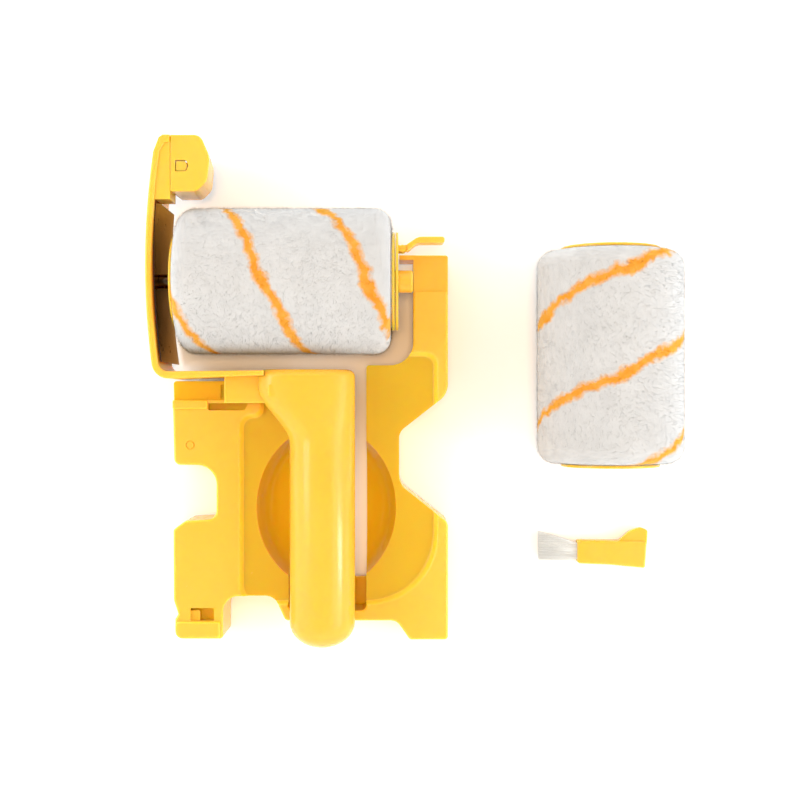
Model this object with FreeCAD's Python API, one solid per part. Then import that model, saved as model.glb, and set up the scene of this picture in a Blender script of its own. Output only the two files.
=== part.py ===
"""Paint edger kit: a short roller with a side shield in its storage dock, a spare sleeve and a detail brush.

Millimetres. +Z is up from the table that the dock stands on, +Y runs from the handle to the roller, and +X
runs from the shield to the far end of the roller. The origin is below the middle of the kit, on the table.
"""

import FreeCAD
import Part
import math
import os

# ---- From the drawing's own zero to the middle of the whole kit, where the origin is ----
SHIFT_X, SHIFT_Y = 0.64, 0.35

# ---- Roller sleeve (the fitted one and the spare are alike) ----
SLEEVE_LENGTH = 95.5
NAP_R = 33.0
NAP_ROUNDING = 7.0
CORE_R = 21.0
CORE_WALL = 1.6
CAP_R = 22.0
CAP_PROUD = 1.3
CAP_WEB_DEPTH = 6.0
HUB_R = 8.0
BUSH_R = 6.5
SPINDLE_R = 5.0
RUNNING_GAP = 0.05
GLUED_GAP = 0.02

# ---- Where the fitted roller lies ----
ROLLER_X0 = -107.7
ROLLER_Y = 50.0
ROLLER_Z = 33.4

# ---- Guard: side wall, end wall and the lug that goes into the neck ----
GUARD_TOP = 50.0
GUARD_WALL = 2.9
SIDE_WALL_LOW = 14.0
END_WALL_Y0, END_WALL_Y1 = 6.0, 9.4
END_WALL_X1 = -68.2
TAPER_Y0, TAPER_Y1 = 1.6, 0.5
LUG_X0, LUG_X1 = -86.3, -42.0
LUG_Y0, LUG_Y1 = -4.5, 8.4
LUG_Z0, LUG_Z1 = 28.4, 43.0
BLADE_THICK = 0.5
BLADE_GAP = 0.1
BLADE_LEAN = 0.9
BOW_X, BOW_Y, BOW_END_Y = -120.0, 61.0, 105.5
BLADE_Z0, BLADE_Z1 = 1.5, 47.0
BLADE_Y0, BLADE_Y1 = 13.5, 84.5
SPACER_R = 3.2
SPACER_END_X = -110.4
SCREW_WAY_R = 2.05
HEAD_SINK = 1.3

# ---- Brush holder ----
HOLDER_Z0, HOLDER_Z1 = 19.4, 49.0
HOLDER_X0, HOLDER_GAP = -109.2, 0.05
SEAT_LOW, SEAT_TOP = 34.0, 49.0
TONGUE_Y0, TONGUE_Y1 = 97.2, 101.4

# ---- Retainer on the far end of the spindle, with its release lever ----
SPINDLE_END_X = -2.9
PLATE_X0, PLATE_X1 = -10.6, -9.4
PLATE_R = 21.9
GROOVE_R = 4.6
LEVER_X, LEVER_Y = -7.5, 64.4
KNUCKLE_R = 1.5
PIN_R = 0.8
LEVER_Z = 33.9
PIN_TOP = LEVER_Z + 4.1

# ---- Handle ----
HANDLE_X, HANDLE_Z, HANDLE_R = -43.3, 36.0, 14.6
HANDLE_END_Y = -113.6
HANDLE_DOME = 11.5
HANDLE_SHELL = 2.4
NECK_TOP_Y = 10.4
NECK_Z = 37.5
NECK_HALF_HEIGHT = 13.3
NECK_ROUNDING = 3.4
FLARE_Y0, FLARE_Y1, FLARE_WIDTH = -23.0, 3.0, 14.0
DOME_STEPS, FLARE_STEPS, NECK_END_STEPS = 8, 14, 6

# ---- Dock ----
DOCK_TOP = 28.0
DOCK_FLOOR = 25.4
NECK_BAY_FLOOR = 23.5
DOCK_SHELF = 24.0
DOCK_SKIN = 2.0
WELL_FLOOR = DOCK_TOP - 5.5
SLOPE_RUN = 1.5
SLOPE_STEPS = 8
SLOT_X0, SLOT_X1, SLOT_END_Y = -59.3, -24.0, -98.6
DISH_X, DISH_Y = -42.2, -52.0

# ---- Spare sleeve and detail brush, lying beside the dock ----
SPARE_X, SPARE_Y, SPARE_Z = 85.7, 16.1, 33.4
BRUSH_THICK = 6.0


def vec(x, y, z=0.0):
    return FreeCAD.Vector(x, y, z)


def box(x0, x1, y0, y1, z0, z1):
    return Part.makeBox(x1 - x0, y1 - y0, z1 - z0, vec(x0, y0, z0))


def rod(radius, start, end):
    """A round bar between two points."""
    a, b = vec(*start), vec(*end)
    return Part.makeCylinder(radius, (b - a).Length, a, b - a)


def tube(outer, inner, start, end):
    return rod(outer, start, end).cut(rod(inner, start, end))


def outline(points, z=0.0):
    """A closed face from (x, y, corner radius) points, with a tangent arc at each rounded corner."""
    edges, count = [], len(points)
    spans = []
    for i, (x, y, r) in enumerate(points):
        here = vec(x, y, z)
        back = (vec(*points[i - 1][:2], z) - here).normalize()
        ahead = (vec(*points[(i + 1) % count][:2], z) - here).normalize()
        half = back.getAngle(ahead) / 2
        reach = r / math.tan(half) if r > 0 else 0.0
        middle = here
        if r > 0:
            middle = here + (back + ahead).normalize() * (r / math.sin(half) - r)
        spans.append((here + back * reach, middle, here + ahead * reach, r))
    for i, (enter, middle, leave, r) in enumerate(spans):
        if r > 0:
            edges.append(Part.Arc(enter, middle, leave).toShape())
        after = spans[(i + 1) % count][0]
        if (after - leave).Length > 1e-6:
            edges.append(Part.LineSegment(leave, after).toShape())
    return Part.Face(Part.Wire(edges))


def slab(points, z0, z1):
    return outline(points, z0).extrude(vec(0, 0, z1 - z0))


def soften_level(shape, radius, level):
    """Rounds every edge that lies at one height."""
    edges = [
        e
        for e in shape.Edges
        if abs(e.BoundBox.ZMin - level) < 1e-4 and abs(e.BoundBox.ZMax - level) < 1e-4
    ]
    return shape.makeFillet(radius, edges)


def joined(shapes):
    whole = shapes[0].fuse(shapes[1:]) if len(shapes) > 1 else shapes[0]
    return whole.removeSplitter()


def save(name, *shapes):
    """Writes one STEP holding these solids, and says so if one isn't sound."""
    solids = [s.translated(vec(SHIFT_X, SHIFT_Y)) for shape in shapes for s in shape.Solids]
    for s in solids:
        if not s.isValid() or s.Volume <= 0:
            print("UNSOUND", name, s.Volume)
    Part.makeCompound(solids).exportStep(f"parts/{name}.step")
    total = sum(s.Volume for s in solids)
    print(f"{name}: {len(solids)} solid(s), {total:.0f} mm3")


# ---------------------------------------------------------------- sleeve


def nap():
    body = Part.makeCylinder(NAP_R, SLEEVE_LENGTH)
    around = 2 * math.pi * NAP_R
    rims = [e for e in body.Edges if abs(e.Length - around) < 1e-3 and e.BoundBox.ZLength < 1e-3]
    body = body.makeFillet(NAP_ROUNDING, rims)
    return body.cut(Part.makeCylinder(CORE_R + GLUED_GAP, SLEEVE_LENGTH))


def core():
    inner = Part.makeCylinder(CORE_R - CORE_WALL, SLEEVE_LENGTH)
    return Part.makeCylinder(CORE_R, SLEEVE_LENGTH).cut(inner)


def cap():
    """The cap at the z = 0 end: a rim, a spigot inside the core, and a sunk web with spokes and a hub."""
    spigot_r = CORE_R - CORE_WALL - GLUED_GAP
    rim = tube(CAP_R, spigot_r - 2.2, (0, 0, -CAP_PROUD), (0, 0, -GLUED_GAP))
    rim_edges = [e for e in rim.Edges if abs(e.BoundBox.ZMin + CAP_PROUD) < 1e-4 and e.BoundBox.ZLength < 1e-3]
    rim = rim.makeFillet(0.5, rim_edges)
    spigot = tube(spigot_r, spigot_r - 2.2, (0, 0, -GLUED_GAP), (0, 0, 12))
    web = tube(spigot_r - 1.0, BUSH_R + GLUED_GAP, (0, 0, CAP_WEB_DEPTH), (0, 0, CAP_WEB_DEPTH + 2))
    for i in range(6):
        turn = i * math.pi / 3
        spot = (13.2 * math.cos(turn), 13.2 * math.sin(turn))
        web = web.cut(rod(3.2, (*spot, CAP_WEB_DEPTH - 1), (*spot, CAP_WEB_DEPTH + 3)))
    hub = tube(HUB_R, BUSH_R + GLUED_GAP, (0, 0, CAP_WEB_DEPTH - 3), (0, 0, CAP_WEB_DEPTH + 7))
    return joined([rim, spigot, web, hub])


def bush():
    z0, z1 = CAP_WEB_DEPTH - 3, CAP_WEB_DEPTH + 7
    return tube(BUSH_R, SPINDLE_R + RUNNING_GAP, (0, 0, z0), (0, 0, z1))


def at_far_end(piece):
    """The same piece turned round to the other end of the sleeve."""
    turned = piece.copy()
    turned.rotate(vec(0, 0, SLEEVE_LENGTH / 2), vec(1, 0, 0), 180)
    return turned


def lay_on_x(piece):
    """From the sleeve's own axis to the fitted roller's place."""
    placed = piece.copy()
    placed.rotate(vec(0, 0, 0), vec(0, 1, 0), 90)
    placed.translate(vec(ROLLER_X0, ROLLER_Y, ROLLER_Z))
    return placed


def lay_on_y(piece):
    """From the sleeve's own axis to the spare's place."""
    placed = piece.copy()
    placed.rotate(vec(0, 0, 0), vec(1, 0, 0), -90)
    placed.translate(vec(SPARE_X, SPARE_Y - SLEEVE_LENGTH / 2, SPARE_Z))
    return placed


def make_sleeves():
    caps, bushes = [cap(), at_far_end(cap())], [bush(), at_far_end(bush())]
    save("roller_nap", lay_on_x(nap()))
    save("roller_core", lay_on_x(core()))
    for side, piece in zip(("left", "right"), caps):
        save(f"roller_cap_{side}", lay_on_x(piece))
    for side, piece in zip(("left", "right"), bushes):
        save(f"spindle_bush_{side}", lay_on_x(piece))
    save("spare_nap", lay_on_y(nap()))
    save("spare_core", lay_on_y(core()))
    save("spare_caps", *[lay_on_y(c) for c in caps])
    save("spare_bushes", *[lay_on_y(b) for b in bushes])


# ---------------------------------------------------------------- guard and shield


def bow(inset, low_gap=0.0):
    """The side wall's bowed line, seen from above, moved in by inset, and by low_gap more at its near end."""
    low, high = vec(-116.3 + inset + low_gap, END_WALL_Y0), vec(-116.5 + inset, BOW_END_Y)
    return Part.Arc(low, vec(BOW_X + inset, BOW_Y), high)


def side_band(near, far, z0, z1, y0, y1):
    """A bowed upright band between two lines."""
    wire = Part.Wire([
        near.toShape(),
        Part.LineSegment(near.EndPoint, far.EndPoint).toShape(),
        far.toShape(),
        Part.LineSegment(far.StartPoint, near.StartPoint).toShape(),
    ])
    band = Part.Face(wire).extrude(vec(0, 0, z1 - z0))
    band.translate(vec(0, 0, z0))
    return band.common(box(-140, -90, y0, y1, z0, z1))


def guard_wall():
    """Side wall, corner and end wall as one upright band, with its rim rounded."""
    outer, inner = bow(0), bow(GUARD_WALL)
    corner = inner.intersect(Part.LineSegment(vec(-130, END_WALL_Y1), vec(-100, END_WALL_Y1)))[0]
    inside = Part.Arc(vec(corner.X, corner.Y), vec(BOW_X + GUARD_WALL, BOW_Y), inner.EndPoint)
    run = [
        outer.toShape(),
        Part.makePolygon([
            outer.EndPoint, vec(-114.2, 111.6), vec(-112.4, 112.9), vec(-109.3, 112.9),
            vec(-109.3, 109.6), vec(-111.6, 109.2), inner.EndPoint,
        ]),
        inside.toShape(),
        Part.makePolygon([
            inside.StartPoint,
            vec(END_WALL_X1, END_WALL_Y1 + TAPER_Y1),
            vec(END_WALL_X1, END_WALL_Y0 + TAPER_Y0),
            outer.StartPoint,
        ]),
    ]
    edges = [e for piece in run for e in piece.Edges]
    wire = Part.Wire(Part.__sortEdges__(edges))
    wall = Part.Face(wire).extrude(vec(0, 0, GUARD_TOP - SIDE_WALL_LOW))
    wall.translate(vec(0, 0, SIDE_WALL_LOW))
    for spot, radius in ((outer.StartPoint, 7.4), (inside.StartPoint, 4.5)):
        tall = [e for e in wall.Edges if e.BoundBox.ZLength > 5]
        upright = [e for e in tall if math.hypot(e.CenterOfMass.x - spot.x, e.CenterOfMass.y - spot.y) < 0.01]
        wall = wall.makeFillet(radius, upright)
    return soften_top(wall, GUARD_TOP, 0.9)


def guard_frame():
    lug = box(LUG_X0, LUG_X1, LUG_Y0, LUG_Y1, LUG_Z0, LUG_Z1)
    lug = soften_top(lug, LUG_Z1, 0.6)
    # Between the wall and the brush holder lies a solid seat, just below the wall's rim.
    seat = side_band(bow(GUARD_WALL - 0.8), bow(11.0), SEAT_LOW, SEAT_TOP, 84.7, BOW_END_Y)
    seat = seat.common(box(-140, HOLDER_X0 - HOLDER_GAP, 80, 112, 0, 60))
    seat_end = box(-113.6, HOLDER_X0 - HOLDER_GAP, BOW_END_Y - 0.5, 109.9, SEAT_LOW, SEAT_TOP)
    frame = joined([guard_wall(), lug, seat, seat_end, tongue()])
    head_way = rod(4.2, (-125, ROLLER_Y, ROLLER_Z), (face_x(bow(0), ROLLER_Y) + HEAD_SINK, ROLLER_Y, ROLLER_Z))
    cutters = [spindle_screw_way(), head_way, *rivet_ways(1.55), *rivet_head_ways(), *neck_screw_ways(1.55)]
    for cutter in cutters:
        frame = frame.cut(cutter)
    return frame


def spindle_screw_way():
    """The hole for the spindle's screw through the wall, the blade and the spacer."""
    return rod(SCREW_WAY_R, (-125, ROLLER_Y, ROLLER_Z), (SPACER_END_X, ROLLER_Y, ROLLER_Z))


def soften_top(shape, level, radius):
    """Rounds the edges at a level if the kernel can, in smaller steps if it can't."""
    for r in (radius, radius * 0.6, radius * 0.3):
        try:
            soft = soften_level(shape, r, level)
            if soft.isValid() and len(soft.Solids) == len(shape.Solids):
                return soft
        except Part.OCCError:
            continue
    print("not rounded at", level)
    return shape


RIVET_SPOTS = [(20.0, 40.0), (20.0, 22.0), (76.0, 40.0), (76.0, 22.0)]


def face_x(line, y):
    """Where a bowed line stands at a distance along Y."""
    circle = line.toShape().Curve
    return circle.Center.x - math.sqrt(circle.Radius**2 - (y - circle.Center.y) ** 2)


def blade_lines():
    """Back and front of the blade, which leans away from the wall towards its near end."""
    inset = GUARD_WALL + BLADE_GAP
    return bow(inset, BLADE_LEAN), bow(inset + BLADE_THICK, BLADE_LEAN)


def rivet_ways(radius):
    return [rod(radius, (-125, y, z), (-105, y, z)) for y, z in RIVET_SPOTS]


def rivet_head_ways():
    """Sinkings in the guard's outer face that hide the rivets' heads."""
    return [rod(2.95, (-125, y, z), (face_x(bow(0), y) + HEAD_SINK, y, z)) for y, z in RIVET_SPOTS]


def rivets():
    """Rivets with their heads sunk in the guard and their closed ends flush with the blade."""
    made = []
    for y, z in RIVET_SPOTS:
        outer = face_x(bow(0), y)
        shank = rod(1.5, (outer + 0.8, y, z), (face_x(blade_lines()[1], y) - 0.02, y, z))
        head = rod(2.85, (outer + 0.45, y, z), (outer + HEAD_SINK - GLUED_GAP, y, z))
        made.append(joined([shank, head]))
    return made


def shield_blade():
    blade = side_band(*blade_lines(), BLADE_Z0, BLADE_Z1, BLADE_Y0, BLADE_Y1)
    for way in (spindle_screw_way(), *rivet_ways(1.55)):
        blade = blade.cut(way)
    return blade


def brush_holder():
    """Block beside the channel that takes the detail brush. The guard's tongue ends in its window."""
    low = [
        (HOLDER_X0, 112.9, 0.6), (-97.6, 112.9, 4.5), (-94.0, 103.0, 10.0),
        (-94.9, 93.0, 6.0), (-99.3, 88.7, 4.0), (HOLDER_X0, 88.7, 0.6),
    ]
    high = [
        (HOLDER_X0, 112.9, 0.6), (-95.9, 112.9, 4.5), (-91.9, 103.0, 10.0),
        (-92.9, 92.6, 6.0), (-97.6, 88.1, 4.0), (HOLDER_X0, 88.1, 0.6),
    ]
    wires = [outline(low, HOLDER_Z0).OuterWire, outline(high, HOLDER_Z1).OuterWire]
    block = soften_top(Part.makeLoft(wires, True, True), HOLDER_Z1, 2.0)
    inside = [
        (-107.4, 111.1, 1.0), (-98.4, 111.1, 3.0), (-95.9, 103.0, 8.0),
        (-96.7, 94.2, 4.0), (-100.1, 90.5, 2.5), (-107.4, 90.5, 1.0),
    ]
    block = block.cut(slab(inside, HOLDER_Z0 - 1, HOLDER_Z1 - 2.2))
    window = slab(
        [
            (-107.0, TONGUE_Y0 - 0.4, 0.4), (-102.2, TONGUE_Y0 - 0.4, 1.2),
            (-101.0, (TONGUE_Y0 + TONGUE_Y1) / 2, 0.8),
            (-102.2, TONGUE_Y1 + 0.4, 1.2), (-107.0, TONGUE_Y1 + 0.4, 0.4),
        ],
        HOLDER_Z1 - 4,
        HOLDER_Z1 + 1,
    )
    way = box(-112, -105.0, TONGUE_Y0 - 0.2, TONGUE_Y1 + 0.2, 32.8, 44.7)
    seat = box(-108.0, -101.4, TONGUE_Y0 - 0.2, TONGUE_Y1 + 0.2, 32.8, 44.7)
    return block.cut(window).cut(way).cut(seat)


def tongue():
    """Tongue that holds the brush holder, with its catch standing up in the holder's window."""
    bar = box(-112.5, -101.6, TONGUE_Y0, TONGUE_Y1, 33.0, 44.5)
    points = [
        (-106.6, TONGUE_Y0, 0.3), (-102.6, TONGUE_Y0, 1.0), (-101.7, (TONGUE_Y0 + TONGUE_Y1) / 2, 0.6),
        (-102.6, TONGUE_Y1, 1.0), (-106.6, TONGUE_Y1, 0.3),
    ]
    return bar.fuse(slab(points, 44.0, HOLDER_Z1 - 0.5))


def make_guard():
    save("guard_frame", guard_frame())
    save("shield_blade", shield_blade())
    save("shield_rivets", *rivets())
    save("brush_holder", brush_holder())


# ---------------------------------------------------------------- spindle, retainer and lever


def spindle():
    y, z = ROLLER_Y, ROLLER_Z
    shaft = rod(SPINDLE_R, (SPACER_END_X, y, z), (SPINDLE_END_X, y, z))
    tip = [e for e in shaft.Edges if abs(e.BoundBox.XMin - SPINDLE_END_X) < 1e-4]
    shaft = shaft.makeChamfer(0.6, tip)
    groove = tube(SPINDLE_R + 1, GROOVE_R, (PLATE_X0 - 0.05, y, z), (PLATE_X1 + 0.05, y, z))
    pilot = rod(1.6, (-117, y, z), (-97, y, z))
    return shaft.cut(groove).cut(pilot)


def spindle_spacer():
    """Steel tube that the screw clamps between the blade and the spindle's end."""
    y, z = ROLLER_Y, ROLLER_Z
    front = face_x(blade_lines()[1], y - SPACER_R) + 0.05
    return tube(SPACER_R, SCREW_WAY_R, (front, y, z), (SPACER_END_X - GLUED_GAP, y, z))


def spindle_screw():
    """Sunk head in the guard's outer face, with a cross recess, and a shank down the spindle's pilot hole."""
    y, z = ROLLER_Y, ROLLER_Z
    outer = face_x(bow(0), y)
    head = rod(3.9, (outer + 0.1, y, z), (outer + HEAD_SINK - GLUED_GAP, y, z))
    recess = box(outer, outer + 0.8, y - 2.2, y + 2.2, z - 0.45, z + 0.45).fuse(
        box(outer, outer + 0.8, y - 0.45, y + 0.45, z - 2.2, z + 2.2)
    )
    return head.fuse(rod(1.58, (outer + 1.0, y, z), (-98, y, z))).cut(recess)


def retainer():
    """Disc snapped into the spindle's groove, with two knuckles for the lever's pin."""
    y, z = ROLLER_Y, ROLLER_Z
    disc = rod(PLATE_R, (PLATE_X0, y, z), (PLATE_X1, y, z))
    parts = [disc]
    for z0, z1 in ((LEVER_Z - 5.0, LEVER_Z - 2.7), (LEVER_Z + 2.7, LEVER_Z + 5.0)):
        parts.append(rod(KNUCKLE_R, (LEVER_X, LEVER_Y, z0), (LEVER_X, LEVER_Y, z1)))
        parts.append(box(PLATE_X1 - 0.2, LEVER_X, LEVER_Y - 1.3, LEVER_Y + 1.3, z0, z1))
    whole = joined(parts)
    pin_way = rod(PIN_R + 0.02, (LEVER_X, LEVER_Y, LEVER_Z - 9), (LEVER_X, LEVER_Y, PIN_TOP + 0.05))
    return whole.cut(rod(GROOVE_R + 0.05, (-20, y, z), (10, y, z))).cut(pin_way)


def release_lever():
    """A blade seen edge-on: out of its barrel, up a ramp, then flat to a rounded finger tip."""
    blade = slab(
        [
            (LEVER_X, LEVER_Y - 1.25, 0), (-5.0, LEVER_Y - 0.9, 3.0), (-1.2, 66.8, 5.0), (11.2, 66.9, 1.2),
            (11.2, 69.5, 1.2), (-0.6, 69.5, 6.0), (-5.2, 66.3, 4.0), (LEVER_X, LEVER_Y + 1.45, 0),
        ],
        LEVER_Z - 5.0,
        LEVER_Z + 5.0,
    )
    neck_gap = [
        box(-11.0, -5.4, 60, 70, LEVER_Z - 6.0, LEVER_Z - 2.5),
        box(-11.0, -5.4, 60, 70, LEVER_Z + 2.5, LEVER_Z + 6.0),
    ]
    for gap in neck_gap:
        blade = blade.cut(gap)
    barrel = rod(KNUCKLE_R, (LEVER_X, LEVER_Y, LEVER_Z - 2.5), (LEVER_X, LEVER_Y, LEVER_Z + 2.5))
    whole = joined([blade, barrel])
    return whole.cut(rod(PIN_R + RUNNING_GAP, (LEVER_X, LEVER_Y, LEVER_Z - 9), (LEVER_X, LEVER_Y, LEVER_Z + 9)))


def make_spindle():
    save("roller_spindle", spindle())
    save("spindle_spacer", spindle_spacer())
    save("spindle_screw", spindle_screw())
    save("retainer_plate", retainer())
    save("release_lever", release_lever())
    save("lever_pin", rod(PIN_R, (LEVER_X, LEVER_Y, LEVER_Z - 5.2), (LEVER_X, LEVER_Y, PIN_TOP)))


# ---------------------------------------------------------------- handle


def flare(y):
    """How far the grip has turned into the neck at a distance along Y: 0 on the grip, 1 in the full neck."""
    t = min(1.0, max(0.0, (y - FLARE_Y0) / (FLARE_Y1 - FLARE_Y0)))
    return t * t * (3 - 2 * t)


def section(y, shrink=0.0, radius=HANDLE_R):
    """A closed smooth section across the handle: a circle on the grip, wider and squarer in the neck."""
    f = flare(y)
    left = HANDLE_X - radius - FLARE_WIDTH * f
    centre_x, half_width = (left + HANDLE_X + radius) / 2, (HANDLE_X + radius - left) / 2 - shrink
    half_height = radius + (NECK_HALF_HEIGHT - HANDLE_R) * f - shrink
    centre_z = HANDLE_Z + (NECK_Z - HANDLE_Z) * f
    power = 2.0 / (2.0 + 0.9 * f)
    points = []
    for i in range(24):
        turn = 2 * math.pi * i / 24
        c, s = math.cos(turn), math.sin(turn)
        x = centre_x + half_width * math.copysign(abs(c) ** power, c)
        z = centre_z + half_height * math.copysign(abs(s) ** power, s)
        points.append(vec(x, y, z))
    curve = Part.BSplineCurve()
    curve.interpolate(points, PeriodicFlag=True)
    return Part.Wire([curve.toShape()])


def handle_body(shrink):
    """Dome, straight grip, flared neck and its rounded end as one solid, drawn in by shrink all round."""
    rings = []
    dome_base = HANDLE_END_Y + HANDLE_DOME
    for i in range(DOME_STEPS + 1):
        turn = 0.06 + (math.pi / 2 - 0.06) * i / DOME_STEPS
        y = dome_base - (HANDLE_DOME - shrink) * math.cos(turn)
        rings.append(section(y, 0.0, (HANDLE_R - shrink) * math.sin(turn)))
    for i in range(FLARE_STEPS + 1):
        rings.append(section(FLARE_Y0 + (FLARE_Y1 - FLARE_Y0) * i / FLARE_STEPS, shrink))
    for i in range(NECK_END_STEPS + 1):
        turn = i / NECK_END_STEPS * math.pi / 2
        y = NECK_TOP_Y - NECK_ROUNDING + (NECK_ROUNDING - shrink) * math.sin(turn)
        rings.append(section(y, shrink + (NECK_ROUNDING - shrink) * (1 - math.cos(turn))))
    return Part.makeLoft(rings, True, True)


GRIP_SCREW_YS = (-98.0, -66.0, -34.0)
NECK_SCREW_XS = (-56.0, -47.0)
NECK_SCREW_Y = 1.0


def neck_screw_ways(radius):
    return [rod(radius, (x, NECK_SCREW_Y, 0), (x, NECK_SCREW_Y, LUG_Z1 + 2)) for x in NECK_SCREW_XS]


def make_handle():
    shell = handle_body(0).cut(handle_body(HANDLE_SHELL))
    clear = 0.12
    shell = shell.cut(
        box(LUG_X0, LUG_X1 + clear, LUG_Y0 - clear, LUG_Y1 + clear, LUG_Z0 - clear, LUG_Z1 + clear)
    )
    wall_y0, wall_y1 = END_WALL_Y0 + 0.9 * TAPER_Y0, END_WALL_Y1 + TAPER_Y1
    shell = shell.cut(
        box(-120, END_WALL_X1 + clear, wall_y0 - clear, wall_y1 + clear, SIDE_WALL_LOW, GUARD_TOP + 1)
    )
    seam = 0.03
    above = box(-90, -10, -130, 30, HANDLE_Z + seam, 80)
    below = box(-90, -10, -130, 30, -10, HANDLE_Z - seam)
    upper, lower = shell.common(above), shell.common(below)
    for y in GRIP_SCREW_YS:
        top_boss = tube(4.0, 1.4, (HANDLE_X, y, HANDLE_Z + seam), (HANDLE_X, y, HANDLE_Z + HANDLE_R - 1.2))
        low_boss = tube(4.0, 1.6, (HANDLE_X, y, HANDLE_Z - HANDLE_R + 1.2), (HANDLE_X, y, HANDLE_Z - seam))
        upper, lower = upper.fuse(top_boss), lower.fuse(low_boss)
        lower = lower.cut(rod(3.1, (HANDLE_X, y, 0), (HANDLE_X, y, HANDLE_Z - HANDLE_R + 4.0)))
        lower = lower.cut(rod(1.6, (HANDLE_X, y, 0), (HANDLE_X, y, HANDLE_Z - 1)))
    neck_bottom = NECK_Z - NECK_HALF_HEIGHT
    for x in NECK_SCREW_XS:
        lower = lower.fuse(rod(3.6, (x, NECK_SCREW_Y, neck_bottom + 1.5), (x, NECK_SCREW_Y, LUG_Z0 - 0.05)))
        lower = lower.cut(rod(1.6, (x, NECK_SCREW_Y, 0), (x, NECK_SCREW_Y, LUG_Z0)))
        lower = lower.cut(rod(3.1, (x, NECK_SCREW_Y, 0), (x, NECK_SCREW_Y, neck_bottom + 1.2)))
    hold_down = box(-66.0, -44.0, -1.5, 3.5, LUG_Z1 + 0.05, NECK_Z + NECK_HALF_HEIGHT - 1.5)
    upper = upper.fuse(hold_down)
    save("handle_upper_shell", biggest(upper))
    save("handle_lower_shell", biggest(lower))
    save("handle_screws", *[screw(HANDLE_X, y, HANDLE_Z - HANDLE_R + 1.2, 20.0, 1.38) for y in GRIP_SCREW_YS])
    save("neck_screws", *[screw(x, NECK_SCREW_Y, neck_bottom - 0.8, 16.0, 1.5) for x in NECK_SCREW_XS])


def biggest(shape):
    return max(shape.removeSplitter().Solids, key=lambda s: s.Volume)


def screw(x, y, head_z, length, shank_r):
    """Pan-head screw driven upwards, with a cross recess in its head."""
    head = rod(2.9, (x, y, head_z), (x, y, head_z + 2.0))
    shank = rod(shank_r, (x, y, head_z + 1.9), (x, y, head_z + length))
    recess = box(x - 1.8, x + 1.8, y - 0.4, y + 0.4, head_z - 1, head_z + 1.0).fuse(
        box(x - 0.4, x + 0.4, y - 1.8, y + 1.8, head_z - 1, head_z + 1.0)
    )
    return head.fuse(shank).cut(recess)


# ---------------------------------------------------------------- dock

DOCK_OUTLINE = [
    (-111.9, 5.5, 1.5), (SLOT_X0, 5.5, 1.5), (SLOT_X0, SLOT_END_Y, 2.5), (SLOT_X1, SLOT_END_Y, 2.5),
    (SLOT_X1, 12.7, 1.5), (-2.6, 12.7, 10.5), (-2.6, 62.5, 1.0), (13.1, 62.5, 1.2),
    (13.1, -0.4, 9.0), (-9.05, -17.7, 6.0), (-9.05, -41.4, 8.0), (13.1, -58.9, 3.0),
    (13.1, -111.8, 1.5), (-4.2, -111.8, 2.0), (-10.2, -103.2, 5.0), (-60.6, -103.2, 2.5),
    (-65.6, -92.2, 7.0), (-88.9, -92.2, 7.0), (-88.9, -111.4, 1.5), (-110.6, -111.4, 4.0),
    (-110.6, -102.6, 1.0), (-109.2, -100.2, 1.0), (-111.2, -94.0, 2.0), (-111.4, -62.0, 2.0),
    (-106.0, -58.0, 3.0), (-91.9, -57.2, 4.0), (-91.9, -32.6, 9.0), (-111.0, -32.6, 3.0),
]


def pocket(grow):
    """The sunk middle of the dock. Its sides rise in an S, so they meet the floor and the top softly."""
    wires = []
    for i in range(SLOPE_STEPS + 1):
        t = i / SLOPE_STEPS
        z = DOCK_FLOOR + (DOCK_TOP - DOCK_FLOOR) * (t - math.sin(2 * math.pi * t) / (2 * math.pi) * 0.75)
        wires.append(pocket_ring(z - grow, SLOPE_RUN * (2 * t - 2) + grow))
    wires.append(pocket_ring(DOCK_TOP + 4.0 - grow, 3.0 + grow))
    return Part.makeLoft(wires, True, True)


def pocket_ring(z, out):
    points = [
        (-82.0 - out, -9.0 + out, 5.0), (-82.0 - out, -96.5 - out, 7.0), (9.0 + out, -96.5 - out, 31.0),
        (9.0 + out, 19.0 + out, 5.0), (-40.0, 19.0 + out, 0), (-40.0, 19.5 + out, 0),
        (-72.8 - out, 19.5 + out, 2.0), (-72.8 - out, -9.0 + out, 4.0),
    ]
    return outline(points, z).OuterWire


def dish(grow):
    """Oval finger hollow round the middle of the handle."""
    levels = [
        (DOCK_FLOOR + 3, 33.0, 38.2), (DOCK_FLOOR, 31.8, 37.0), (17.0, 28.6, 33.8),
        (12.0, 22.0, 27.0), (10.5, 15.0, 20.0),
    ]
    wires = []
    for level, half_x, half_y in levels:
        z = level - grow
        far, side = vec(DISH_X, DISH_Y + half_y + grow, z), vec(DISH_X + half_x + grow, DISH_Y, z)
        wires.append(Part.Wire([Part.Ellipse(far, side, vec(DISH_X, DISH_Y, z)).toShape()]))
    return Part.makeLoft(wires, True, False)


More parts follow.
